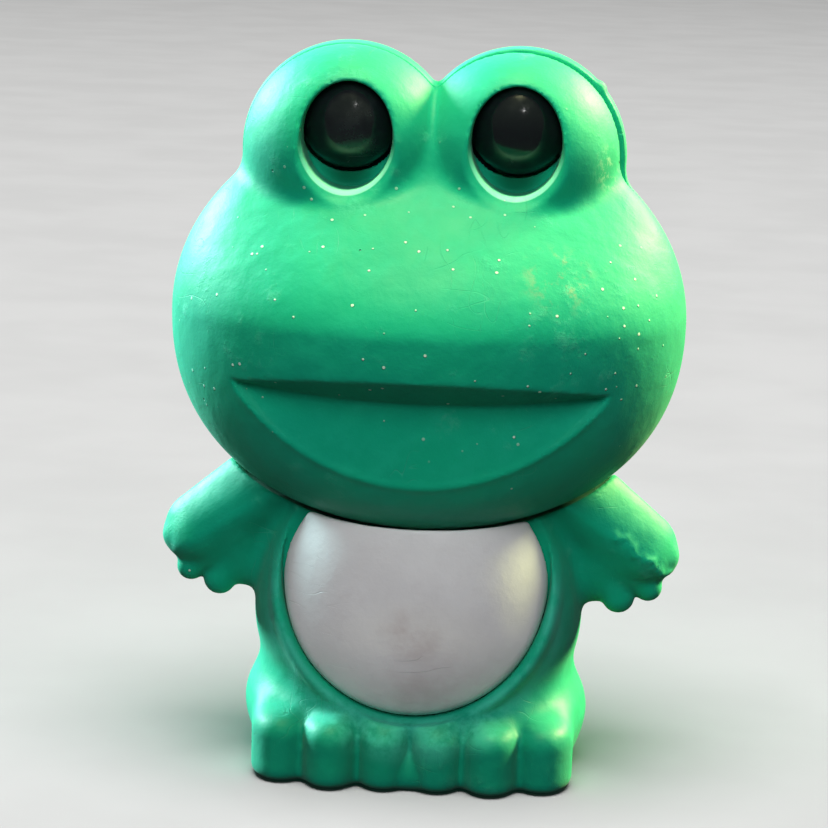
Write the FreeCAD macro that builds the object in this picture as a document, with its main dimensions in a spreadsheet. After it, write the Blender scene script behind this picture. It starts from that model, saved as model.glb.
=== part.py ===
"""Take-apart rubber eraser in the shape of a standing frog.

Five mouldings push together: a body with arms, feet and a flanged neck; a white belly plug that pushes
into the body from the front; a face half and a rear half of the head, which close round the neck's flange;
and one black moulding with both eyes, held between the two halves of the head.

Frame: millimetres, +Z up, the frog faces -Y. The origin is on the floor, below the neck's axis.
"""
import FreeCAD, Part
import math
import os

DIMENSIONS = [
    # alias, value in millimetres, what it is
    ("head_half_wide", 13.15, "head, half its width"),
    ("head_front_deep", 9.4, "head, from the seam forward to the muzzle"),
    ("head_rear_deep", 9.4, "head, from the seam back"),
    ("head_mid", 23.3, "height of the head's widest level"),
    ("head_drop", 10.8, "from the widest level down to the underside"),
    ("head_rise", 10.6, "from the widest level up to the crown"),
    ("chin_rounding", 5.0, "how late the head's lower ovals turn into circles, towards the neck"),
    ("jowl_power", 2.25, "fullness of the head's lower half, 2 is an ellipse"),
    ("crown_power", 2.0, "fullness of the head's upper half"),
    ("forehead_bend", 1.7, "forehead's slope, how tight its turn at the muzzle is"),
    ("forehead_lean", 1.6, "forehead's slope, how far it leans back"),
    ("brow_radius", 5.46, "ball above each eye"),
    ("brow_apart", 4.38, "brow ball's centre from the middle"),
    ("brow_back", 1.0, "brow ball's centre behind the seam"),
    ("total_height", 37.0, "floor to the top of the brow balls"),
    ("eye_radius", 2.6, "black eye ball"),
    ("eye_apart", 4.22, "eye's axis from the middle"),
    ("eye_mid", 33.2, "height of the eye's centre"),
    ("eye_front", 0.6, "eye ball's centre in front of the seam"),
    ("eye_play", 0.12, "gap round the eye moulding"),
    ("eye_bar_tall", 1.9, "height of the bar between the eyes"),
    ("eye_bar_thick", 1.0, "thickness of that bar"),
    ("eye_bar_low", 1.5, "bar's middle below the eyes' centres"),
    ("bridge_half_wide", 2.4, "web between the brow balls"),
    ("bridge_half_deep", 3.8, "web between the brow balls"),
    ("bridge_half_tall", 3.7, "web between the brow balls"),
    ("bridge_mid", 30.0, "height of the web's centre"),
    ("eye_hole_half_wide", 2.3, "oval opening over the eye"),
    ("eye_hole_half_tall", 2.68, "oval opening over the eye"),
    ("eye_hole_mid", 32.5, "height of the opening's centre"),
    ("mouth_half", 9.2, "half the mouth's width"),
    ("mouth_line", 20.4, "height of the mouth's corners"),
    ("mouth_drop", 4.6, "corners down to the lower lip"),
    ("mouth_rise", 0.85, "corners up to the middle of the upper lip"),
    ("mouth_floor_half", 14.0, "mouth floor's curve across"),
    ("mouth_floor_front", 7.2, "mouth floor's distance in front of the seam"),
    ("seam_gap", 0.1, "between the two halves of the head"),
    ("lock_wide", 9.0, "locking block on the rear half"),
    ("lock_tall", 5.0, "locking block on the rear half"),
    ("lock_long", 4.6, "locking block on the rear half"),
    ("lock_low", 21.5, "height of the locking block's underside"),
    ("lock_round", 1.2, "locking block's corners"),
    ("lock_play", 0.1, "gap round the locking block"),
    ("neck_radius", 2.6, "neck stem"),
    ("neck_low", 9.5, "where the stem starts, inside the body"),
    ("flange_radius", 4.0, "flange on the neck"),
    ("flange_low", 16.5, "height of the flange's underside"),
    ("flange_thick", 2.0, "flange on the neck"),
    ("neck_play", 0.15, "gap round the neck and its flange"),
    ("seat_gap", 0.2, "gap under the head's path as it turns"),
    ("rear_path_half_wide", 14.3, "room for the rear half of the head as it pulls off backwards"),
    ("rear_path_half_tall", 11.3, "room for the rear half of the head as it pulls off backwards"),
    ("torso_half_wide", 8.5, "body, half its width"),
    ("torso_half_deep", 7.6, "body, half its depth"),
    ("torso_mid", 7.9, "height of the body's widest level"),
    ("torso_drop", 7.6, "from there down to the underside of the egg"),
    ("torso_rise", 10.1, "from there up to the egg's top, inside the head"),
    ("torso_power", 2.0, "fullness of the body"),
    ("belly_half_wide", 6.75, "belly plug's outline"),
    ("belly_half_tall", 6.8, "belly plug's outline"),
    ("belly_mid", 10.35, "height of the outline's centre"),
    ("belly_play", 0.12, "gap round the belly plug"),
    ("belly_inset", 0.25, "belly's face behind the body's surface"),
    ("pocket_floor", 3.2, "belly pocket's floor in front of the neck's axis"),
    ("peg_radius", 1.6, "peg on the back of the belly plug"),
    ("peg_end", 2.0, "peg's end behind the neck's axis"),
    ("peg_mid", 7.9, "height of the peg"),
    ("sole_half_wide", 3.8, "sole of one foot"),
    ("sole_half_long", 6.0, "sole of one foot"),
    ("sole_apart", 3.9, "sole's centre from the middle"),
    ("sole_forward", 0.9, "sole's centre in front of the neck's axis"),
    ("sole_thick", 1.8, "sole of one foot"),
]

# Limbs, one side: radii across, deep and tall, then the centre's offset sideways, forward and up.
HAUNCH = (3.7, 5.4, 3.2, 5.2, -0.6, 2.75)
ARM = (4.5, 2.4, 2.6, 9.05, 0.2, 12.8)
ARM_SLOPE = 42.0
HAND = (2.2, 1.9, 2.1, 10.9, 0.4, 11.4)
FINGERS = [
    (1.05, 1.2, 1.05, 12.35, 0.5, 11.2),
    (0.95, 1.2, 1.0, 11.75, 0.6, 9.85),
    (1.1, 1.2, 1.15, 10.3, 0.6, 9.35),
]
TOES = [
    (1.6, 3.3, 2.0, 1.4, 4.8, 0.6),
    (1.65, 3.3, 2.1, 4.15, 5.0, 0.6),
    (1.6, 3.3, 2.4, 6.5, 3.9, 0.6),
]
SECTIONS = 13
LAST_LATITUDE = 84.0
FAR = 40.0

doc = FreeCAD.newDocument("frog_eraser")
sheet = doc.addObject("Spreadsheet::Sheet", "dimensions")
for row, (alias, value, note) in enumerate(DIMENSIONS, start=1):
    sheet.set(f"A{row}", note)
    sheet.set(f"B{row}", str(value))
    sheet.setAlias(f"B{row}", alias)
doc.recompute()


def cell(formula):
    """A formula whose names are dimensions, such as 'head_mid - head_drop', as FreeCAD wants it."""
    words, word = [], ""
    for letter in formula + " ":
        if letter.isalnum() or letter in "_.":
            word += letter
            continue
        known = any(word == alias for alias, _, _ in DIMENSIONS)
        words.append(f"dimensions.{word}" if known else word)
        words.append(letter)
        word = ""
    return "".join(words).strip()


def bind(item, **formulas):
    for name, formula in formulas.items():
        item.setExpression(name, cell(str(formula)))
    return item


def place(item, x="0", y="0", z="0"):
    for axis, formula in (("x", x), ("y", y), ("z", z)):
        item.setExpression(f"Placement.Base.{axis}", cell(str(formula)))
    return item


def turn(item, axis, degrees):
    item.Placement.Rotation = FreeCAD.Rotation(FreeCAD.Vector(*axis), degrees)
    return item


def ellipsoid(name, half_x, half_y, half_z, x, y, z):
    item = doc.addObject("Part::Ellipsoid", name)
    bind(item, Radius1=half_z, Radius2=half_x, Radius3=half_y)
    return place(item, x, y, z)


def ball(name, radius, x, y, z):
    item = doc.addObject("Part::Sphere", name)
    bind(item, Radius=radius)
    return place(item, x, y, z)


def upright(name, radius, height, x="0", y="0", z="0"):
    item = doc.addObject("Part::Cylinder", name)
    bind(item, Radius=radius, Height=height)
    return place(item, x, y, z)


def forward_cylinder(name, radius, length, x, y, z):
    """A cylinder that starts at y and runs forward, along -Y."""
    item = turn(doc.addObject("Part::Cylinder", name), (1, 0, 0), 90)
    bind(item, Radius=radius, Height=length)
    return place(item, x, y, z)


def block(name, long_x, long_y, long_z, x, y, z):
    item = doc.addObject("Part::Box", name)
    bind(item, Length=long_x, Width=long_y, Height=long_z)
    return place(item, x, y, z)


def forward_oval(name, half_x, half_z, length, x, y, z):
    """An oval bar that starts at y and runs forward, along -Y."""
    tall = sheet_value(half_z) > sheet_value(half_x)
    outline = doc.addObject("Part::Ellipse", f"{name}_outline")
    outline.Placement.Rotation = FreeCAD.Rotation(FreeCAD.Vector(1, 0, 0), 90)
    if tall:
        outline.Placement.Rotation = outline.Placement.Rotation * FreeCAD.Rotation(FreeCAD.Vector(0, 0, 1), 90)
    major, minor = (half_z, half_x) if tall else (half_x, half_z)
    bind(outline, MajorRadius=major, MinorRadius=minor)
    place(outline, x, y, z)
    bar = doc.addObject("Part::Extrusion", name)
    bar.Base = outline
    bar.Dir = FreeCAD.Vector(0, -1, 0)
    bar.DirMode = "Custom"
    bar.Solid = True
    return bind(bar, LengthFwd=length)


def sheet_value(formula):
    """The number that a formula of dimensions has now."""
    names = {alias: value for alias, value, _ in DIMENSIONS}
    total, sign = 0.0, 1.0
    for word in formula.split():
        if word in "+-":
            sign = 1.0 if word == "+" else -1.0
        else:
            total += sign * (names[word] if word in names else float(word))
    return total


def fuse(name, *shapes):
    item = doc.addObject("Part::MultiFuse", name)
    item.Shapes = list(shapes)
    return item


def cut(name, base, *tools):
    item = doc.addObject("Part::Cut", name)
    item.Base = base
    item.Tool = tools[0] if len(tools) == 1 else fuse(f"{name}_tools", *tools)
    return item


def common(name, *shapes):
    item = doc.addObject("Part::MultiCommon", name)
    item.Shapes = list(shapes)
    return item


def egg(name, half_x, front, rear, mid, drop, drop_power, rise, rise_power, lean="", rounding=""):
    """A closed egg, lofted through level ovals whose size follows a superellipse in height.

    lean gives the front of the upper ovals as a share of front, in terms of t, the height's share of rise.
    rounding is a power of the height's share of drop, by which the lower ovals turn into circles.
    """
    ovals = []
    for i in range(SECTIONS):
        latitude = -LAST_LATITUDE + 2 * LAST_LATITUDE * i / (SECTIONS - 1)
        share = math.sin(math.radians(latitude))
        reach, power = (drop, drop_power) if share < 0 else (rise, rise_power)
        height = f"{abs(share):.6f}"
        girth = f"pow(1 - pow({height}; {power}); 1 / {power})"
        leaning = lean.replace("t;", f"{height};") if lean and share > 0 else girth
        ahead, behind = f"({front}) * {leaning}", f"({rear}) * {girth}"
        if rounding and share < 0:
            ahead, behind = (f"({deep} + ({half_x} - {deep}) * pow({height}; {rounding})) * {girth}"
                             for deep in (front, rear))
        oval = doc.addObject("Part::Ellipse", f"{name}_oval_{i}")
        bind(oval, MajorRadius=f"({half_x}) * {girth}", MinorRadius=f"({ahead} + {behind}) / 2")
        place(oval, y=f"({behind} - {ahead}) / 2", z=f"{mid} + ({reach}) * {share:.6f}")
        ovals.append(oval)
    loft = doc.addObject("Part::Loft", name)
    loft.Sections = ovals
    loft.Solid = True
    loft.Ruled = False
    return loft


def both_sides(name, maker):
    """Calls maker for the frog's left side, at +X, and for its right side."""
    return [maker(f"{name}_left", 1), maker(f"{name}_right", -1)]


def limb(name, sizes, slope=0.0):
    """One ellipsoid on each side, sloping down and outward by slope degrees."""
    half_x, half_y, half_z, out, forward, up = sizes

    def one(label, side):
        item = ellipsoid(label, half_x, half_y, half_z, side * out, -forward, up)
        return turn(item, (0, 1, 0), side * slope)

    return both_sides(name, one)


def head_outside():
    skull = egg("skull", "head_half_wide", "head_front_deep", "head_rear_deep", "head_mid",
                "head_drop", "jowl_power", "head_rise", "crown_power",
                "pow(1 - pow(t; forehead_bend); forehead_lean)", "chin_rounding")
    brows = both_sides("brow", lambda label, side: ball(
        label, "brow_radius", f"{side} * brow_apart", "brow_back", "total_height - brow_radius"))
    bridge = ellipsoid("bridge", "bridge_half_wide", "bridge_half_deep", "bridge_half_tall",
                       0, "brow_back", "bridge_mid")
    return fuse("head_outside", skull, bridge, *brows)


def neck_space():
    """The room in the head for the neck and its flange."""
    stem = upright("stem_space", "neck_radius + neck_play", "flange_low", z="neck_low")
    disc = upright("flange_space", "flange_radius + neck_play",
                   "flange_thick + 2 * neck_play", z="flange_low - neck_play")
    return fuse("neck_space", stem, disc)


def mouth():
    """A scoop below the upper lip, deep at its roof and shallow at the lower lip."""
    lip_arch = forward_oval("lip_arch", "mouth_half", "mouth_rise", FAR, 0, 0, "mouth_line")
    jaw_oval = forward_oval("jaw_oval", "mouth_half", "mouth_drop", FAR, 0, 0, "mouth_line")
    below = block("below_mouth_line", FAR, FAR, FAR, -FAR / 2, -FAR, f"mouth_line - {FAR}")
    opening = fuse("mouth_opening", lip_arch, common("jaw_opening", jaw_oval, below))
    floor_oval = doc.addObject("Part::Ellipse", "mouth_floor_oval")
    bind(floor_oval, MajorRadius="mouth_floor_half", MinorRadius="mouth_floor_front")
    floor = doc.addObject("Part::Extrusion", "mouth_floor")
    floor.Base = floor_oval
    floor.Dir = FreeCAD.Vector(0, 0, 1)
    floor.DirMode = "Custom"
    floor.Solid = True
    floor.LengthFwd = FAR
    return cut("mouth", opening, floor)


def eye_space(label, side):
    """Opening, ball socket and rear channel for one eye, and half the bar's groove."""
    out = f"{side} * eye_apart"
    hole = forward_oval(f"{label}_hole", "eye_hole_half_wide", "eye_hole_half_tall", FAR,
                        out, "0 - eye_front", "eye_hole_mid")
    socket = ball(f"{label}_socket", "eye_radius + eye_play", out, "0 - eye_front", "eye_mid")
    channel = forward_cylinder(f"{label}_channel", "eye_radius + eye_play", "eye_front + 1",
                               out, "1", "eye_mid")
    return fuse(f"{label}_space", hole, socket, channel)


def eye_groove():
    return block("eye_groove", "2 * eye_apart", "eye_bar_thick + seam_gap + eye_play + 1",
                 "eye_bar_tall + 2 * eye_play", "0 - eye_apart",
                 "0 - seam_gap - eye_bar_thick - eye_play",
                 "eye_mid - eye_bar_low - eye_bar_tall / 2 - eye_play")


def lock_block(name, play):
    """The rounded block that locks the head's halves together, or its socket when play is given."""
    bar = block(f"{name}_bar", f"lock_wide + 2 * {play}", f"lock_long + {play} + 1",
                f"lock_tall + 2 * {play}", f"0 - lock_wide / 2 - {play}",
                f"0 - lock_long - {play}", f"lock_low - {play}")
    doc.recompute()
    rounded = doc.addObject("Part::Fillet", name)
    rounded.Base = bar
    radius = sheet_value("lock_round")
    rounded.Edges = [(i, radius, radius) for i, edge in enumerate(bar.Shape.Edges, start=1)
                     if abs(edge.tangentAt(edge.FirstParameter).y) > 0.99]
    return rounded


def make_head(outside):
    front_room = block("front_room", FAR, FAR, FAR + 10, -FAR / 2, -FAR, "0")
    rear_room = block("rear_room", FAR, FAR, FAR + 10, -FAR / 2, "seam_gap", "0")
    space = neck_space()
    front = cut("face", common("face_blank", outside, front_room), mouth(), space,
                lock_block("lock_socket", "lock_play"), eye_groove(), *both_sides("eye", eye_space))
    front.Label = "head_front"
    lock = lock_block("lock", "0")
    rear = cut("rear", fuse("rear_blank", common("rear_half", outside, rear_room), lock), space)
    rear.Label = "head_back"
    return front, rear


def make_eyes():
    """Two round-nosed posts on a bar, one black moulding."""
    def post(label, side):
        out = f"{side} * eye_apart"
        nose = ball(f"{label}_nose", "eye_radius", out, "0 - eye_front", "eye_mid")
        shank = forward_cylinder(f"{label}_shank", "eye_radius", "eye_front - seam_gap",
                                 out, "0 - seam_gap", "eye_mid")
        trim = block(f"{label}_trim", FAR, FAR, FAR, -FAR / 2, "0 - seam_gap", f"eye_mid - {FAR / 2}")
        return cut(f"{label}_post", fuse(f"{label}_blank", nose, shank), trim)

    bar = block("eye_tie", "2 * eye_apart", "eye_bar_thick", "eye_bar_tall", "0 - eye_apart",
                "0 - seam_gap - eye_bar_thick", "eye_mid - eye_bar_low - eye_bar_tall / 2")
    eyes = fuse("eyes", bar, *both_sides("eye_ball", post))
    eyes.Label = "eye_bar"
    return eyes


def torso(name, inset):
    deep = f"torso_half_deep - {inset}"
    return egg(name, f"torso_half_wide - {inset}", deep, deep, "torso_mid",
               "torso_drop", "torso_power", "torso_rise", "torso_power")


def head_path():
    """The space that the turning head sweeps, with the seat gap added."""
    reach = "head_half_wide + seat_gap"
    return egg("head_path", reach, reach, reach, "head_mid",
               "head_drop + seat_gap", "jowl_power", "head_rise", "crown_power")


def sole(label, side):
    """The flat sole of one foot."""
    outline = doc.addObject("Part::Ellipse", f"{label}_outline")
    outline.Placement.Rotation = FreeCAD.Rotation(FreeCAD.Vector(0, 0, 1), 90)
    bind(outline, MajorRadius="sole_half_long", MinorRadius="sole_half_wide")
    place(outline, f"{side} * sole_apart", "0 - sole_forward", "0")
    slab = doc.addObject("Part::Extrusion", label)
    slab.Base = outline
    slab.Dir = FreeCAD.Vector(0, 0, 1)
    slab.DirMode = "Custom"
    slab.Solid = True
    return bind(slab, LengthFwd="sole_thick")


def make_body(path):
    """The trunk and arms stay clear of the head's paths; feet, neck and pocket come after that."""
    arms = limb("arm", ARM, ARM_SLOPE) + limb("hand", HAND)
    for i, sizes in enumerate(FINGERS):
        arms += limb(f"finger_{i}", sizes)
    rear_path = forward_oval("rear_path", "rear_path_half_wide", "rear_path_half_tall", FAR,
                             0, FAR, "head_mid")
    seated = cut("seated", cut("dished", fuse("trunk", torso("torso", "0"), *arms), path), rear_path)
    feet = limb("haunch", HAUNCH) + both_sides("sole", sole)
    for i, sizes in enumerate(TOES):
        feet += limb(f"toe_{i}", sizes)
    under_floor = block("under_floor", FAR, FAR, FAR, -FAR / 2, -FAR / 2, -FAR)
    standing = fuse("standing", seated, cut("feet", fuse("feet_blank", *feet), under_floor))
    stem = upright("neck_stem", "neck_radius", "flange_low + flange_thick - neck_low", z="neck_low")
    flange = upright("neck_flange", "flange_radius", "flange_thick", z="flange_low")
    pocket = forward_oval("belly_pocket", "belly_half_wide + belly_play", "belly_half_tall + belly_play",
                          FAR, 0, "0 - pocket_floor", "belly_mid")
    peg_hole = forward_cylinder("peg_hole", "peg_radius + belly_play", "pocket_floor + peg_end + 1",
                                0, "peg_end + belly_play", "peg_mid")
    body = cut("frog_body", fuse("necked", standing, stem, flange), pocket, peg_hole)
    body.Label = "body"
    return body


def make_belly(path):
    outline = forward_oval("belly_outline", "belly_half_wide", "belly_half_tall", FAR,
                           0, "0 - pocket_floor - belly_play", "belly_mid")
    plug = cut("belly_face", common("belly_blank", outline, torso("belly_skin", "belly_inset")), path)
    peg = forward_cylinder("belly_peg", "peg_radius", "pocket_floor + peg_end + 1",
                           0, "peg_end", "peg_mid")
    belly = fuse("belly", plug, peg)
    belly.Label = "belly_plug"
    return belly


def check_and_write(nodes):
    doc.recompute()
    for item in doc.Objects:
        if "Invalid" in item.State or "Error" in item.State:
            raise RuntimeError(f"{item.Name} failed: {item.State}")
    os.makedirs("parts", exist_ok=True)
    for node in nodes:
        shape = node.Shape
        if shape.isNull() or not shape.isValid() or not shape.Solids:
            raise RuntimeError(f"{node.Label} has no valid solid")
        box = shape.BoundBox
        print(f"{node.Label}: {len(shape.Solids)} solid, {shape.Volume:.1f} mm3, "
              f"X {box.XMin:.2f}..{box.XMax:.2f}, Y {box.YMin:.2f}..{box.YMax:.2f}, "
              f"Z {box.ZMin:.2f}..{box.ZMax:.2f}")
        shape.exportStep(f"parts/{node.Label}.step")


turning_space = head_path()
face, rear = make_head(head_outside())
check_and_write([make_body(turning_space), make_belly(turning_space), face, rear, make_eyes()])
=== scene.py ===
import math

import bpy
import numpy as np
from mathutils import Matrix, Vector


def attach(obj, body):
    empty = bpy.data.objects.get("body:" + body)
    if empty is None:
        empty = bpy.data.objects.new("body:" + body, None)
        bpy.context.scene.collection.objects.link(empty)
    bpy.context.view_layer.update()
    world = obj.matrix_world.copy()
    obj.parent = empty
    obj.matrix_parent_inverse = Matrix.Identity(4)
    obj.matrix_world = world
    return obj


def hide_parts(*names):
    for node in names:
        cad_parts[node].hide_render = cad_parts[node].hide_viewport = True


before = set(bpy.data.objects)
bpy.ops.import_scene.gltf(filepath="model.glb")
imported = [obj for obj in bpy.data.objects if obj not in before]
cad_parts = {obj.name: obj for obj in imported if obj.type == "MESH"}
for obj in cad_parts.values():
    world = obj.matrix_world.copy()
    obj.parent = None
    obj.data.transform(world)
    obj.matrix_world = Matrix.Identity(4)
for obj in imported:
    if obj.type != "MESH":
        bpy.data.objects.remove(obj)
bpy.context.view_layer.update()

# Everything below is in millimetres until a mesh is made. +Z is up and the frog faces -Y.
# A shape is a field on a grid: negative inside, positive outside, close to millimetres near the surface.
SEAM_GAP = 0.1      # behind the eye piece
SEAM_OPEN = 0.06    # how far the rear half reaches past the seam's plane over the right brow
EYE_PLAY = 0.12
HEAD_MID, HEAD_DROP, HEAD_RISE = 23.3, 10.8, 10.6
HEAD_WIDE, HEAD_DEEP, JOWL_POWER = 13.15, 9.4, 2.25
NECK_RADIUS, FLANGE_RADIUS = 2.6, 4.0
MOUTH_HALF, MOUTH_LINE, MOUTH_RISE, MOUTH_DROP = 9.35, 20.5, 0.75, 4.75
BROW_RADIUS, BROW_APART, BROW_BACK, BROW_MID = 5.46, 4.38, 1.0, 31.54
EYE_RADIUS, EYE_APART, EYE_FRONT, EYE_MID = 2.6, 4.22, 0.6, 33.2
HOLE_WIDE, HOLE_TALL, HOLE_MID = 2.27, 2.68, 32.5
TORSO_WIDE, TORSO_DEEP, TORSO_MID, TORSO_DROP, TORSO_RISE = 8.5, 7.6, 7.9, 7.6, 10.1
BELLY_WIDE, BELLY_TALL, BELLY_MID = 6.75, 6.8, 10.35
PEG_RADIUS, PEG_MID, PEG_PLAY = 1.6, 7.9, 0.12
COARSE = 1.0


class Grid:
    """Points step apart in a box, as three arrays that broadcast to the whole grid."""

    def __init__(self, low, high, step):
        self.step = step * COARSE
        self.low = np.array(low, dtype=np.float64) - 3 * self.step
        counts = np.ceil((np.array(high) + 3 * self.step - self.low) / self.step).astype(int) + 1
        line = [self.low[i] + self.step * np.arange(counts[i]) for i in range(3)]
        self.x = line[0].astype(np.float32)[:, None, None]
        self.y = line[1].astype(np.float32)[None, :, None]
        self.z = line[2].astype(np.float32)[None, None, :]

    def true_distance(self, field):
        """Rescales an implicit field so that it is close to a distance near the surface."""
        slopes = np.gradient(field, self.step)
        steep = np.sqrt(sum(s * s for s in slopes))
        return field / np.maximum(steep, 0.02)


def join(a, b, k=0.001):
    """Union, with a fillet about k wide in the corner between the two shapes."""
    h = np.clip(0.5 + 0.5 * (b - a) / k, 0, 1)
    return b + (a - b) * h - k * h * (1 - h)


def meet(a, b, k=0.001):
    """Intersection, with edges rounded over about k."""
    return -join(-a, -b, k)


def carve(a, tool, k=0.001):
    """Takes tool out of a, with edges rounded over about k."""
    return meet(a, -tool, k)


def ramp(value, start, end):
    t = np.clip((value - start) / (end - start), 0, 1)
    return t * t * (3 - 2 * t)


def ellipsoid(g, centre, radii):
    x, y, z = g.x - centre[0], g.y - centre[1], g.z - centre[2]
    a, b, c = radii
    k0 = np.sqrt((x / a) ** 2 + (y / b) ** 2 + (z / c) ** 2)
    k1 = np.sqrt((x / a ** 2) ** 2 + (y / b ** 2) ** 2 + (z / c ** 2) ** 2)
    return k0 * (k0 - 1) / np.maximum(k1, 1e-4)


def capsule(g, a, b, ra, rb):
    """A round bar from a to b whose radius goes from ra to rb."""
    a, b = np.array(a, dtype=np.float32), np.array(b, dtype=np.float32)
    along = b - a
    x, y, z = g.x - a[0], g.y - a[1], g.z - a[2]
    t = np.clip((x * along[0] + y * along[1] + z * along[2]) / float(along @ along), 0, 1)
    reach = np.sqrt((x - t * along[0]) ** 2 + (y - t * along[1]) ** 2 + (z - t * along[2]) ** 2)
    return reach - (ra + (rb - ra) * t)


def ridged_bar(g, a, b, ra, rb):
    """A bar from a to b, like capsule, whose section is a soft diamond with an edge to the front."""
    power = 1.45
    a, b = np.array(a, dtype=np.float32), np.array(b, dtype=np.float32)
    along = b - a
    length = float(np.hypot(along[0], along[2]))
    u, w = along[0] / length, along[2] / length
    x, y, z = g.x - a[0], g.y - a[1], g.z - a[2]
    reach = x * u + z * w
    t = np.clip(reach / length, 0, 1)
    past = reach - t * length
    section = (np.abs(z * u - x * w) ** power + np.abs(y - t * along[1]) ** power) ** (1 / power)
    return np.sqrt(section ** 2 + past ** 2) - (ra + (rb - ra) * t)


def oval_2d(x, z, half_x, half_z):
    return (np.sqrt((x / half_x) ** 2 + (z / half_z) ** 2) - 1) * min(half_x, half_z)


def block(g, low, high):
    middle = [(a + b) / 2 for a, b in zip(low, high)]
    half = [(b - a) / 2 for a, b in zip(low, high)]
    gaps = [np.abs(p - m) - h for p, m, h in zip((g.x, g.y, g.z), middle, half)]
    return np.maximum(np.maximum(gaps[0], gaps[1]), gaps[2])


def upright(g, radius, low, high):
    across = np.sqrt(g.x ** 2 + g.y ** 2) - radius
    return np.maximum(across, np.abs(g.z - (low + high) / 2) - (high - low) / 2)


def head_outside(g, proud=0.0):
    """Skull with a leaning forehead, and the two brow balls; the ball at +X can stand proud."""
    up = np.maximum(g.z - HEAD_MID, 0) / HEAD_RISE
    down = np.maximum(HEAD_MID - g.z, 0) / HEAD_DROP
    leaning = np.maximum(1 - np.minimum(up, 1) ** 1.7, 0) ** 1.6
    girth = np.sqrt(np.maximum(1 - np.minimum(up, 1) ** 2, 1e-4))
    depth = np.where(g.y < 0, HEAD_DEEP * np.clip(leaning / girth, 0.12, 1), HEAD_DEEP)
    depth = depth + (HEAD_WIDE - HEAD_DEEP) * np.minimum(down, 1) ** 5
    level = np.sqrt((g.x / HEAD_WIDE) ** 2 + (g.y / depth) ** 2)
    upper = np.sqrt(level ** 2 + up ** 2)
    lower = (level ** JOWL_POWER + down ** JOWL_POWER) ** (1 / JOWL_POWER)
    skull = g.true_distance(np.where(g.z > HEAD_MID, upper, lower) - 1)
    left = ellipsoid(g, (-BROW_APART, BROW_BACK, BROW_MID), [BROW_RADIUS] * 3)
    right_apart, right_radius = BROW_APART - 0.2, BROW_RADIUS - 0.12
    right = ellipsoid(g, (right_apart + proud, BROW_BACK, BROW_MID), [right_radius + 0.8 * proud] * 3)
    brows = join(left, right, 0.5)
    web = ellipsoid(g, (0, BROW_BACK, 30.0), (2.4, 3.8, 3.7))
    return join(join(brows, web, 0.7), skull, 0.7)


def neck_room(g):
    play = 0.15
    stem = upright(g, NECK_RADIUS + play, 9, 17)
    return join(stem, upright(g, FLANGE_RADIUS + play, 16.35, 18.65))


def lock(g, play):
    """The block on the rear half that pushes into the face half."""
    half_wide, half_tall, middle, long, corner = 4.5, 2.5, 24.0, 4.6, 1.2
    x = np.abs(g.x) - (half_wide + play - corner)
    z = np.abs(g.z - middle) - (half_tall + play - corner)
    outside = np.sqrt(np.maximum(x, 0) ** 2 + np.maximum(z, 0) ** 2)
    section = outside + np.minimum(np.maximum(x, z), 0) - corner
    return np.maximum(section, np.maximum(g.y - 1, -g.y - long - play))


def mouth_depth(g):
    """How far the mouth lies under the skin: a slanting roof below the upper lip, then a long scoop."""
    spread = np.maximum(1 - (g.x / MOUTH_HALF) ** 2, 1e-3) ** 0.83
    upper = MOUTH_LINE + MOUTH_RISE * spread
    lower = MOUTH_LINE - MOUTH_DROP * spread
    fold = upper - 1.4 * spread
    roof = np.clip((upper - g.z) / (upper - fold), 0, 1)
    scoop = np.clip((g.z - lower) / (fold - lower), 0, 1)
    deep = 1.75 * spread ** 0.7 * np.minimum(roof, 1.25 * scoop - 0.25 * scoop ** 2)
    lip = np.exp(-((g.z - lower) / 0.22) ** 2) * ramp(spread, 0.02, 0.3)
    return (deep - 0.07 * lip) * ((g.y < -2) & (np.abs(g.x) < MOUTH_HALF))


def eye_holes(g, skin):
    """Oval openings whose edge is bevelled where it meets the outside."""
    low = ramp(g.z, HOLE_MID + 0.5, HOLE_MID - 2)
    flare = np.clip(0.5 + skin, 0, 0.7) * (0.15 + 0.85 * low)
    holes = []
    for side in (-1, 1):
        hole = oval_2d(g.x - side * EYE_APART, g.z - HOLE_MID, HOLE_WIDE, HOLE_TALL) - flare
        holes.append(np.maximum(hole, g.y + EYE_FRONT + 0.8 * ramp(g.z, 32.6, 31.7)))
    return np.minimum(*holes)


def eye_sockets(g):
    sockets = None
    for side in (-1, 1):
        out = side * EYE_APART
        ball = ellipsoid(g, (out, -EYE_FRONT, EYE_MID), [EYE_RADIUS + EYE_PLAY] * 3)
        channel = np.sqrt((g.x - out) ** 2 + (g.z - EYE_MID) ** 2) - EYE_RADIUS - EYE_PLAY
        channel = np.maximum(channel, -g.y - EYE_FRONT)
        both = np.minimum(ball, channel)
        sockets = both if sockets is None else np.minimum(sockets, both)
    groove = block(g, (-EYE_APART, -1.22, 30.63), (EYE_APART, 1, 32.77))
    return np.minimum(sockets, groove)


def seam_opening(g):
    """0 where the two halves meet tightly, 1 over the right brow, where the joint stands open."""
    return ramp(g.x, 0, 3) * ramp(g.z, 25, 29)


def face_half():
    g = Grid((-13.2, -9.6, 12.4), (13.2, 0, 37.1), 0.15)
    skin = head_outside(g)
    shape = skin + mouth_depth(g)
    shape = carve(shape, eye_holes(g, skin), 0.09)
    shape = meet(shape, g.y + 0 * skin, 0.01 + 0.08 * seam_opening(g))
    for room in (neck_room(g), lock(g, 0.1), eye_sockets(g)):
        shape = carve(shape, room, 0.06)
    return g, shape


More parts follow.
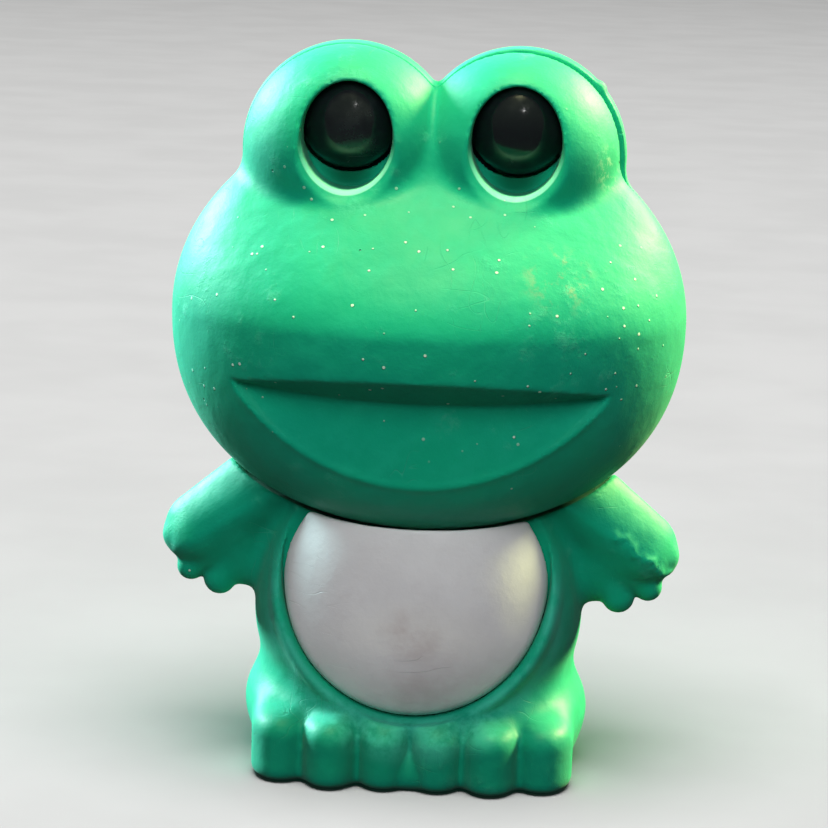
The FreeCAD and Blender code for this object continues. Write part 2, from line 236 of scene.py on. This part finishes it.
def rear_half():
    g = Grid((-13.2, -4.7, 12.4), (13.2, 9.6, 37.1), 0.16)
    skin = head_outside(g, 0.13)
    open_side = seam_opening(g)
    shape = meet(skin, 0.005 + SEAM_OPEN * open_side - g.y, 0.01 + 0.08 * open_side)
    shape = join(shape, ellipsoid(g, (8.1, 0.45, 35.0), (0.5, 0.35, 0.5)), 0.15)
    shape = join(shape, lock(g, 0.0), 0.1)
    return g, carve(shape, neck_room(g), 0.06)


def eye_pair():
    g = Grid((-7, -4, 30.7), (7, 0, 36), 0.11)
    shape = block(g, (-EYE_APART, -1.1, 30.75), (EYE_APART, -SEAM_GAP, 32.65))
    for side in (-1, 1):
        out = side * EYE_APART
        ball = ellipsoid(g, (out, -EYE_FRONT, EYE_MID), [EYE_RADIUS] * 3)
        shank = np.sqrt((g.x - out) ** 2 + (g.z - EYE_MID) ** 2) - EYE_RADIUS
        shank = np.maximum(shank, -g.y - EYE_FRONT)
        shape = np.minimum(shape, np.minimum(ball, shank))
    return g, meet(shape, g.y + SEAM_GAP + 0 * shape, 0.1)


def torso(g, inset=0.0):
    up = np.maximum(g.z - TORSO_MID, 0) / (TORSO_RISE - inset)
    down = np.maximum(TORSO_MID - g.z, 0) / (TORSO_DROP - inset)
    level = np.sqrt((g.x / (TORSO_WIDE - inset)) ** 2 + (g.y / (TORSO_DEEP - inset)) ** 2)
    return g.true_distance(np.sqrt(level ** 2 + (up + down) ** 2) - 1)


def head_path(g, gap=0.09):
    """Room for the head as it turns, and for its rear half as it pulls off."""
    down = np.maximum(HEAD_MID - g.z, 0) / (HEAD_DROP + gap)
    across = np.sqrt(g.x ** 2 + g.y ** 2) / (HEAD_WIDE + gap)
    dish = g.true_distance((across ** JOWL_POWER + down ** JOWL_POWER) ** (1 / JOWL_POWER) - 1)
    rear = np.maximum(oval_2d(g.x, g.z - HEAD_MID, 14.3, 11.3), -g.y)
    return np.minimum(dish, rear)


def mirrored(g, maker, shift=0.0):
    """maker draws the limb at +X; both sides come back as one field."""
    class Side:
        y, z = g.y, g.z

        def __init__(self, side):
            self.x = side * (g.x - shift)
    return np.minimum(maker(Side(1)), maker(Side(-1)))


def arm(g):
    shape = ridged_bar(g, (6.8, -0.2, 14.6), (11.2, -0.4, 11.55), 2.6, 2.1)
    shape = join(shape, ellipsoid(g, (9.3, -0.1, 10.9), (2.2, 1.5, 2.3)), 0.9)
    fingers = [
        capsule(g, (11.0, -0.5, 12.0), (12.5, -0.5, 11.2), 1.1, 0.88),
        capsule(g, (10.9, -0.6, 10.4), (11.85, -0.65, 9.6), 0.95, 0.74),
        capsule(g, (9.9, -0.5, 10.0), (10.35, -0.6, 9.0), 0.95, 0.84),
    ]
    for finger in fingers:
        shape = join(shape, finger, 0.25)
    return shape


def mould_flash(g):
    """Height of the ragged line of flash that runs down and out along the arm at +X."""
    x, z = g.x - 9.7, g.z - 13.0
    along = (x * 3.3 - z * 2.7) / 18.2
    wander = 0.13 * np.sin(17 * along) + 0.07 * np.sin(43 * along + 1)
    off = (x * 2.7 + z * 3.3) / 4.26 + wander
    ends = ramp(along, -0.02, 0.1) * ramp(along, 1.05, 0.95)
    crumbs = 0.6 + 0.4 * np.sin(31 * along) * np.sin(57 * along + 2)
    return 0.2 * np.exp(-(off / 0.2) ** 2) * ends * crumbs * (g.y < 0.3)


def haunch(g):
    return ellipsoid(g, (5.2, 0.6, 2.75), (3.72, 5.4, 3.2))


def foot(g):
    shape = np.maximum(oval_2d(g.x - 3.9, g.y + 0.9, 3.85, 6.0), np.abs(g.z) - 1.8)
    shape = join(shape, ellipsoid(g, (0, -4.0, 0.6), (2.5, 3.2, 2.0)), 0.6)
    toe_long = 2.4
    for out, front, wide in ((1.35, 7.7, 1.55), (4.05, 7.9, 1.55), (6.6, 7.0, 1.6)):
        column = oval_2d(g.x - out, g.y + front - toe_long, wide, toe_long)
        shape = join(shape, meet(column, np.abs(g.z - 1.5) - 2.0, 1.2), 0.3)
    return shape


def frog_body():
    g = Grid((-13.7, -8.5, 0), (13.7, 7.8, 18.6), 0.145)
    skin = torso(g)
    legs = join(mirrored(g, haunch), mirrored(g, foot, 0.15), 1.5)
    shape = join(skin, legs, 1.3)
    shape = join(shape, mirrored(g, arm) - mould_flash(g), 0.9)
    shape = carve(shape, head_path(g), 0.15)
    neck = join(upright(g, NECK_RADIUS, 9.5, 17.5), upright(g, FLANGE_RADIUS, 16.5, 18.5))
    shape = join(shape, neck, 0.1)
    edge = oval_2d(g.x, g.z - BELLY_MID, BELLY_WIDE + 0.55, BELLY_TALL + 0.55)
    lip = np.sqrt(edge ** 2 + (skin + 0.12) ** 2) - 0.34 * ramp(g.z, 12.5, 7.5) - 0.01
    shape = join(shape, np.maximum(lip, g.y + 3), 0.2)
    flare = np.clip(0.4 + skin, 0, 0.5) * ramp(g.z, 12.5, 8.5) * 0.5
    play = 0.015 + 0.105 * ramp(g.z, 7, 12)
    pocket = oval_2d(g.x, g.z - BELLY_MID, BELLY_WIDE, BELLY_TALL) - play - flare
    shape = carve(shape, np.maximum(pocket, g.y + 3.2), 0.15)
    peg_hole = np.sqrt(g.x ** 2 + (g.z - PEG_MID) ** 2) - PEG_RADIUS - PEG_PLAY
    shape = carve(shape, np.maximum(peg_hole, g.y - 2.12), 0.1)
    return g, meet(shape, -g.z + 0 * shape, 0.5)


def belly():
    g = Grid((-6.85, -7.5, 3.4), (6.85, 2.1, 15.5), 0.13)
    face = torso(g, 0.2)
    outline = oval_2d(g.x, g.z - BELLY_MID, BELLY_WIDE, BELLY_TALL)
    plug = np.maximum(outline, g.y + 3.32)
    shape = carve(meet(plug, face, 0.5), head_path(g), 0.15)
    peg = np.sqrt(g.x ** 2 + (g.z - PEG_MID) ** 2) - PEG_RADIUS
    return g, join(shape, np.maximum(peg, np.maximum(g.y - 2.0, -g.y - 5)), 0.1)


def sample(field, points):
    """The field and its slope at points given in grid steps, by trilinear blending."""
    base = np.clip(points.astype(int), 0, np.array(field.shape) - 2)
    t = points - base
    corner = {}
    for i in (0, 1):
        for j in (0, 1):
            for k in (0, 1):
                corner[i, j, k] = field[base[:, 0] + i, base[:, 1] + j, base[:, 2] + k]
    weights = [np.stack([1 - t[:, a], t[:, a]]) for a in range(3)]
    value = np.zeros(len(points))
    slope = np.zeros((len(points), 3))
    for (i, j, k), v in corner.items():
        u, w, q = weights[0][i], weights[1][j], weights[2][k]
        value += v * u * w * q
        slope[:, 0] += v * (2 * i - 1) * w * q
        slope[:, 1] += v * (2 * j - 1) * u * q
        slope[:, 2] += v * (2 * k - 1) * u * w
    return value, slope


def skin_of(g, field):
    """Surface nets: one vertex in each cell that the surface crosses, one quad across each crossed edge."""
    inside = field < 0
    nx, ny, nz = field.shape
    count = np.zeros((nx - 1, ny - 1, nz - 1), dtype=np.int8)
    corners = [(i, j, k) for i in (0, 1) for j in (0, 1) for k in (0, 1)]
    for i, j, k in corners:
        count += inside[i:nx - 1 + i, j:ny - 1 + j, k:nz - 1 + k]
    cells = np.argwhere((count > 0) & (count < 8))
    values = {c: field[cells[:, 0] + c[0], cells[:, 1] + c[1], cells[:, 2] + c[2]] for c in corners}
    total, crossings = np.zeros((len(cells), 3)), np.zeros(len(cells))
    for a in corners:
        for axis in range(3):
            if a[axis]:
                continue
            b = tuple(v + (n == axis) for n, v in enumerate(a))
            crossed = (values[a] < 0) != (values[b] < 0)
            share = values[a][crossed] / (values[a][crossed] - values[b][crossed])
            spot = np.tile(np.array(a, dtype=float), (len(share), 1))
            spot[:, axis] += share
            total[crossed] += spot
            crossings[crossed] += 1
    points = cells + total / crossings[:, None]
    for _ in range(2):
        value, slope = sample(field, points)
        move = -value[:, None] * slope / np.maximum((slope ** 2).sum(1), 1e-8)[:, None]
        points += np.clip(move, -0.3, 0.3)
    number = np.full(count.shape, -1, dtype=np.int64)
    number[tuple(cells.T)] = np.arange(len(cells))
    quads = []
    for axis in range(3):
        one, two = (axis + 1) % 3, (axis + 2) % 3
        here = [slice(1, n - 1) for n in field.shape]
        ahead = list(here)
        here[axis], ahead[axis] = slice(0, field.shape[axis] - 1), slice(1, field.shape[axis])
        a, b = inside[tuple(here)], inside[tuple(ahead)]
        spots = np.argwhere(a != b)
        outward = a[tuple(spots.T)]
        spots[:, one] += 1
        spots[:, two] += 1
        ring = []
        for d1, d2 in ((1, 1), (0, 1), (0, 0), (1, 0)):
            cell = spots.copy()
            cell[:, one] -= d1
            cell[:, two] -= d2
            ring.append(number[tuple(cell.T)])
        ring = np.stack(ring, 1)
        ring[~outward] = ring[~outward][:, ::-1]
        quads.append(ring)
    return g.low + points * g.step, np.concatenate(quads)


def mesh_piece(name, field_maker, node, body, material):
    g, field = field_maker()
    points, quads = skin_of(g, field)
    mesh = bpy.data.meshes.new(name)
    mesh.vertices.add(len(points))
    mesh.vertices.foreach_set("co", (points * 0.001).astype(np.float32).ravel())
    mesh.loops.add(quads.size)
    mesh.loops.foreach_set("vertex_index", quads.astype(np.int32).ravel())
    mesh.polygons.add(len(quads))
    mesh.polygons.foreach_set("loop_start", np.arange(0, quads.size, 4, dtype=np.int32))
    mesh.update(calc_edges=True)
    mesh.validate()
    mesh.shade_smooth()
    piece = bpy.data.objects.new(name, mesh)
    bpy.context.scene.collection.objects.link(piece)
    mesh.materials.append(material)
    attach(piece, body)
    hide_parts(node)
    print(name, len(points), "points", len(quads), "quads")
    return piece


class Nodes:
    """A short way to write a node material. Sizes inside are in metres, as the object's own coordinates."""

    def __init__(self, name):
        self.material = bpy.data.materials.new(name)
        self.material.use_nodes = True
        self.tree = self.material.node_tree
        self.shader = self.tree.nodes["Principled BSDF"]
        self.place = self.add("ShaderNodeTexCoord").outputs["Object"]

    def add(self, kind, inputs=None, **settings):
        node = self.tree.nodes.new(kind)
        for key, value in settings.items():
            setattr(node, key, value)
        for key, value in (inputs or {}).items():
            self.feed(node.inputs[key], value)
        return node

    def feed(self, socket, value):
        if isinstance(value, bpy.types.NodeSocket):
            self.tree.links.new(value, socket)
        else:
            socket.default_value = value

    def noise(self, scale, detail=4.0, roughness=0.55):
        return self.add("ShaderNodeTexNoise", {"Vector": self.place, "Scale": scale, "Detail": detail,
                                               "Roughness": roughness}).outputs["Fac"]

    def range(self, value, low, high, start=0.0, end=1.0):
        return self.add("ShaderNodeMapRange", {"Value": value, "From Min": low, "From Max": high,
                                               "To Min": start, "To Max": end},
                        interpolation_type="SMOOTHSTEP").outputs[0]

    def math(self, operation, a, b=0.5):
        return self.add("ShaderNodeMath", {0: a, 1: b}, operation=operation).outputs[0]

    def mix(self, share, a, b):
        node = self.add("ShaderNodeMix", data_type="RGBA")
        for index, value in ((0, share), (6, a), (7, b)):
            self.feed(node.inputs[index], value)
        return node.outputs[2]

    def near(self, centre, reach):
        """1 at centre, a point in millimetres, falling to 0 at reach millimetres from it."""
        gap = self.add("ShaderNodeVectorMath", {0: self.place, 1: [v * 0.001 for v in centre]},
                       operation="DISTANCE").outputs["Value"]
        return self.range(gap, reach * 0.001, reach * 0.0002)

    def eye_bevel(self, out):
        """1 on the bevelled edge of the eye hole that is out millimetres from the middle."""
        flat = self.add("ShaderNodeMapping", {
            "Vector": self.place, "Scale": (1000 / HOLE_WIDE, 0, 1000 / HOLE_TALL),
            "Location": (-out / HOLE_WIDE, 0, -HOLE_MID / HOLE_TALL)}).outputs[0]
        reach = self.add("ShaderNodeVectorMath", {0: flat}, operation="LENGTH").outputs["Value"]
        return self.math("MULTIPLY", self.range(reach, 0.97, 1.0), self.range(reach, 1.09, 1.06))

    def specks(self, scale, radius, share):
        """Dots of radius millimetres in a share of the cells of a pattern with scale cells to a metre."""
        cells = self.add("ShaderNodeTexVoronoi", {"Vector": self.place, "Scale": scale})
        far = radius * 0.001 * scale
        dots = self.range(cells.outputs["Distance"], far, far * 0.6)
        pick = self.add("ShaderNodeSeparateColor", {0: cells.outputs["Color"]}).outputs[0]
        return self.math("MULTIPLY", dots, self.range(pick, 1 - share, 1.01 - share))

    def scratches(self, scale, stretch, turn, width):
        """Thin curved lines along the level lines of a stretched noise."""
        place = self.add("ShaderNodeMapping", {"Vector": self.place, "Rotation": turn, "Scale": stretch})
        field = self.add("ShaderNodeTexNoise", {"Vector": place.outputs[0], "Scale": scale, "Detail": 0.6})
        off = self.math("ABSOLUTE", self.math("SUBTRACT", field.outputs["Fac"], 0.5))
        broken = self.range(self.noise(260), 0.54, 0.66)
        return self.math("MULTIPLY", self.range(off, width, width * 0.3), broken)

    def bump(self, height, distance):
        """Relief of the surface, distance metres high where height goes from 0 to 1."""
        relief = self.add("ShaderNodeBump", {"Height": height, "Distance": distance, "Strength": 1.0})
        self.feed(self.shader.inputs["Normal"], relief.outputs[0])

    def total(self, *terms):
        """The sum of value times weight over the (value, weight) terms."""
        whole = 0.0
        for value, weight in terms:
            inputs = {0: value, 1: weight, 2: whole}
            whole = self.add("ShaderNodeMath", inputs, operation="MULTIPLY_ADD").outputs[0]
        return whole


def green_rubber():
    n = Nodes("green_rubber")
    cloud = n.range(n.noise(110, 3), 0.35, 0.65)
    mottle = n.noise(750, 6, 0.65)
    grain = n.noise(3200, 3)
    worn = n.math("MULTIPLY", n.range(n.noise(330, 8, 0.7), 0.54, 0.7), n.range(mottle, 0.45, 0.6))
    lines = n.math("MAXIMUM", n.scratches(240, (1, 1, 3.5), (0.4, 0.5, 0.3), 0.006),
                   n.scratches(300, (3, 1, 1), (0.2, -0.6, 0.9), 0.005))
    axes = n.add("ShaderNodeSeparateXYZ", {0: n.place})
    depth, height = axes.outputs["Y"], axes.outputs["Z"]
    front_of_head = n.math("MULTIPLY", n.range(height, 0.016, 0.021), n.range(depth, -0.002, -0.006))
    head_dust = n.math("MULTIPLY", n.specks(1300, 0.1, 0.6), front_of_head)
    dust = n.math("MAXIMUM", head_dust, n.specks(600, 0.09, 0.15))
    pits = n.specks(640, 0.09, 0.05)
    scuff = n.math("MULTIPLY", n.near((9.0, -1.6, 31.3), 1.6), n.range(n.noise(1500, 6, 0.7), 0.48, 0.62))
    rust = n.math("MULTIPLY", n.near((6.6, -6.6, 26.3), 2.4), n.range(n.noise(900, 6, 0.7), 0.47, 0.66))
    colour = n.mix(cloud, (0.004, 0.41, 0.225, 1), (0.003, 0.36, 0.215, 1))
    colour = n.mix(n.range(mottle, 0.4, 0.75, 0.0, 0.35), colour, (0.012, 0.47, 0.285, 1))
    colour = n.mix(n.total((worn, 0.45)), colour, (0.085, 0.52, 0.34, 1))
    colour = n.mix(n.total((lines, 0.2)), colour, (0.10, 0.55, 0.37, 1))
    # Painted shade: the eye holes round and below the balls are darkened in the colour, standing in for the
    # shade that falls there.
    sockets = n.math("MAXIMUM", n.near((-EYE_APART, -1.7, 30.6), 1.9), n.near((EYE_APART, -1.7, 30.6), 1.9))
    # Painted highlight: the lower bevelled edges of the eye holes are made pale mint, standing in for light
    # catching them from above.
    painted_bevel_highlight = n.math("MAXIMUM", n.eye_bevel(-EYE_APART), n.eye_bevel(EYE_APART))
    low_front = n.math("MULTIPLY", n.range(height, 0.0325, 0.0300), n.range(depth, -0.0026, -0.0034))
    painted_bevel_highlight = n.math("MULTIPLY", painted_bevel_highlight, low_front)
    # Painted highlight: a patchy lighter band on the raised lip round the belly pocket, standing in for
    # light catching the lip.
    flat = n.add("ShaderNodeMapping", {"Vector": n.place, "Scale": (1, 0, 1)}).outputs[0]
    out = n.add("ShaderNodeVectorMath", {0: flat, 1: (0, 0, BELLY_MID * 0.001)}, operation="DISTANCE")
    out = out.outputs["Value"]
    ring = n.math("MULTIPLY", n.range(out, 0.0068, 0.0071), n.range(out, 0.0092, 0.0078))
    patchy = n.math("MULTIPLY", n.range(depth, -0.0028, -0.0042), n.range(n.noise(500, 6, 0.7), 0.3, 0.6))
    painted_rim_highlight = n.math("MULTIPLY", n.math("MULTIPLY", ring, patchy), n.range(height, 0.0150, 0.0125))
    # Painted shade: the toe tops and the low front under the belly's lip are darkened, standing in for the
    # shade under the overhang.
    painted_toe_shade = n.math("MULTIPLY", n.range(height, 0.0052, 0.0034), n.range(depth, -0.0046, -0.0062))
    # Painted shade on the toe tops.
    colour = n.mix(n.total((painted_toe_shade, 0.55)), colour, (0.001, 0.16, 0.11, 1))
    # Painted highlight on the belly's lip.
    colour = n.mix(n.total((painted_rim_highlight, 0.75)), colour, (0.055, 0.50, 0.36, 1))
    # Painted shade in the eye holes.
    colour = n.mix(n.total((sockets, 0.9)), colour, (0.001, 0.12, 0.065, 1))
    # Painted highlight on the lower eye-hole bevels.
    colour = n.mix(n.total((painted_bevel_highlight, 0.85)), colour, (0.30, 0.92, 0.68, 1))
    colour = n.mix(n.total((rust, 0.6)), colour, (0.34, 0.33, 0.20, 1))
    colour = n.mix(n.total((scuff, 0.7)), colour, (0.30, 0.60, 0.42, 1))
    colour = n.mix(n.total((pits, 0.6)), colour, (0.01, 0.10, 0.06, 1))
    colour = n.mix(dust, colour, (0.62, 0.85, 0.72, 1))
    n.feed(n.shader.inputs["Base Color"], colour)
    roughness = n.total((n.noise(420, 5), 0.22), (worn, 0.15), (dust, 0.2), (1.0, 0.44))
    n.feed(n.shader.inputs["Roughness"], roughness)
    n.shader.inputs["Specular IOR Level"].default_value = 0.22
    n.shader.inputs["Subsurface Weight"].default_value = 0.12
    n.shader.inputs["Subsurface Radius"].default_value = (0.2, 1.0, 0.6)
    n.shader.inputs["Subsurface Scale"].default_value = 0.0008
    n.shader.inputs["Sheen Weight"].default_value = 0.06
    n.shader.inputs["Sheen Roughness"].default_value = 0.5
    n.bump(n.total((n.noise(190, 3), 1.3), (mottle, 0.3), (grain, 0.07), (lines, -0.10), (dust, 0.5),
                   (pits, -0.8), (worn, 0.12)), 0.00012)
    return n.material


def white_rubber():
    n = Nodes("white_rubber")
    soft = n.noise(160, 4)
    fine = n.noise(1100, 6, 0.65)
    smudge = n.math("MULTIPLY", n.near((0.0, -7.2, 8.1), 1.9), n.range(n.noise(420, 5, 0.6), 0.3, 0.75))
    low = n.math("MULTIPLY", n.near((1.2, -6.6, 4.6), 4.2), n.range(n.noise(300, 5, 0.6), 0.4, 0.72))
    rubs = n.scratches(280, (1, 1, 5), (0.1, 0.2, 0.1), 0.009)
    specks = n.specks(700, 0.05, 0.08)
    colour = n.mix(n.range(soft, 0.35, 0.65), (0.80, 0.80, 0.815, 1), (0.74, 0.735, 0.75, 1))
    colour = n.mix(n.range(fine, 0.5, 0.75, 0.0, 0.3), colour, (0.66, 0.64, 0.655, 1))
    colour = n.mix(n.total((smudge, 0.85)), colour, (0.50, 0.42, 0.43, 1))
    colour = n.mix(n.total((low, 0.55)), colour, (0.54, 0.47, 0.48, 1))
    colour = n.mix(n.total((rubs, 0.22)), colour, (0.5, 0.5, 0.5, 1))
    colour = n.mix(n.total((specks, 0.5)), colour, (0.30, 0.30, 0.28, 1))
    n.feed(n.shader.inputs["Base Color"], colour)
    n.feed(n.shader.inputs["Roughness"], n.total((fine, 0.25), (smudge, 0.1), (1.0, 0.36)))
    n.shader.inputs["Subsurface Weight"].default_value = 0.12
    n.shader.inputs["Subsurface Radius"].default_value = (1.0, 0.9, 0.8)
    n.shader.inputs["Subsurface Scale"].default_value = 0.0008
    n.bump(n.total((soft, 0.8), (fine, 0.3), (rubs, -0.2), (n.noise(3500, 2), 0.08)), 0.0001)
    return n.material


def black_gloss():
    n = Nodes("black_gloss")
    haze = n.range(n.noise(520, 6, 0.65), 0.42, 0.7)
    dust = n.specks(1500, 0.035, 0.10)
    hairs = n.scratches(420, (1, 1, 4), (0.5, 0.3, 0.8), 0.006)
    colour = n.mix(haze, (0.0065, 0.0095, 0.0115, 1), (0.016, 0.021, 0.024, 1))
    colour = n.mix(n.total((dust, 0.5)), colour, (0.20, 0.24, 0.25, 1))
    n.feed(n.shader.inputs["Base Color"], colour)
    n.feed(n.shader.inputs["Roughness"], n.total((haze, 0.14), (hairs, 0.12), (dust, 0.2), (1.0, 0.16)))
    n.shader.inputs["Coat Weight"].default_value = 0.25
    n.shader.inputs["Coat Roughness"].default_value = 0.06
    n.bump(n.total((haze, 0.2), (hairs, -0.3), (dust, 0.4)), 0.00002)
    return n.material


def look_from(target, azimuth, elevation, distance, roll=0.0):
    """A place and turn, in metres and degrees, that looks at target.
    Azimuth 0 looks along +Y, and roll turns the view."""
    a, e = math.radians(azimuth), math.radians(elevation)
    away = Vector((math.sin(a) * math.cos(e), -math.cos(a) * math.cos(e), math.sin(e)))
    turn = (-away).to_track_quat("-Z", "Y").to_matrix().to_4x4()
    return Matrix.Translation(target + away * distance) @ turn @ Matrix.Rotation(math.radians(roll), 4, "Z")


def add_camera():
    data = bpy.data.cameras.new("camera")
    data.sensor_width = 36
    data.lens = 135
    data.clip_start = 0.01
    camera = bpy.data.objects.new("camera", data)
    bpy.context.scene.collection.objects.link(camera)
    camera.matrix_world = look_from(Vector((-0.00057, 0, 0.018)), 3.0, 11, 0.16, 2.0)
    bpy.context.scene.camera = camera


def group_of(name, *things):
    group = bpy.data.collections.new(name)
    for thing in things:
        group.objects.link(thing)
    return group


def add_light(name, azimuth, elevation, distance, size, watts, colour, lit, in_reflections=True):
    """A round soft light that faces the frog: angles in degrees, distance and size in metres.
    lit is the group that it lights, in_reflections whether mirror images of it show."""
    data = bpy.data.lights.new(name, "AREA")
    data.shape = "DISK"
    data.size = size
    data.energy = watts
    data.color = colour
    light = bpy.data.objects.new(name, data)
    bpy.context.scene.collection.objects.link(light)
    light.matrix_world = look_from(Vector((0, 0, 0.02)), azimuth, elevation, distance)
    light.light_linking.receiver_collection = lit
    light.visible_glossy = in_reflections


def add_floor():
    mesh = bpy.data.meshes.new("floor")
    mesh.from_pydata([(-1, -1, 0), (1, -1, 0), (1, 1, 0), (-1, 1, 0)], [], [(0, 1, 2, 3)])
    floor = bpy.data.objects.new("floor", mesh)
    bpy.context.scene.collection.objects.link(floor)
    n = Nodes("floor_paper")
    tone = n.range(n.noise(60, 4), 0.3, 0.7)
    n.feed(n.shader.inputs["Base Color"], n.mix(tone, (0.50, 0.50, 0.495, 1), (0.47, 0.47, 0.465, 1)))
    n.shader.inputs["Roughness"].default_value = 0.8
    mesh.materials.append(n.material)
    floor.visible_diffuse = False
    floor.visible_glossy = False
    return floor


green, white, black = green_rubber(), white_rubber(), black_gloss()
frog = group_of(
    "frog",
    mesh_piece("body_skin", frog_body, "body", "trunk", green),
    mesh_piece("belly_skin", belly, "belly_plug", "belly", white),
    mesh_piece("face_skin", face_half, "head_front", "face", green),
    mesh_piece("rear_head_skin", rear_half, "head_back", "head_rear", green),
    mesh_piece("eye_pair_skin", eye_pair, "eye_bar", "eyes", black),
)
ground = group_of("ground", add_floor())
add_camera()
add_light("top_light", 0, 85, 0.5, 0.12, 3.6, (1, 1, 0.5), frog)
add_light("left_light", -124, 24, 0.5, 0.14, 9.6, (0.58, 0.9, 0.9), frog)
add_light("right_light", 126, 32, 0.5, 0.14, 9.4, (1, 1, 0.42), frog)
add_light("front_light", -4, 40, 0.6, 0.4, 1.95, (1, 1, 1), frog, False)
add_light("glint_light", 14, 36, 0.6, 0.02, 0.1, (1, 1, 1), frog)
add_light("floor_light", 0, 80, 1.4, 1.2, 36.0, (1, 1, 1), ground)
world = bpy.data.worlds.new("studio")
world.use_nodes = True
world.node_tree.nodes["Background"].inputs["Color"].default_value = (0.8, 0.8, 0.8, 1)
world.node_tree.nodes["Background"].inputs["Strength"].default_value = 0.09
bpy.context.scene.world = world
bpy.context.scene.view_settings.view_transform = "Standard"
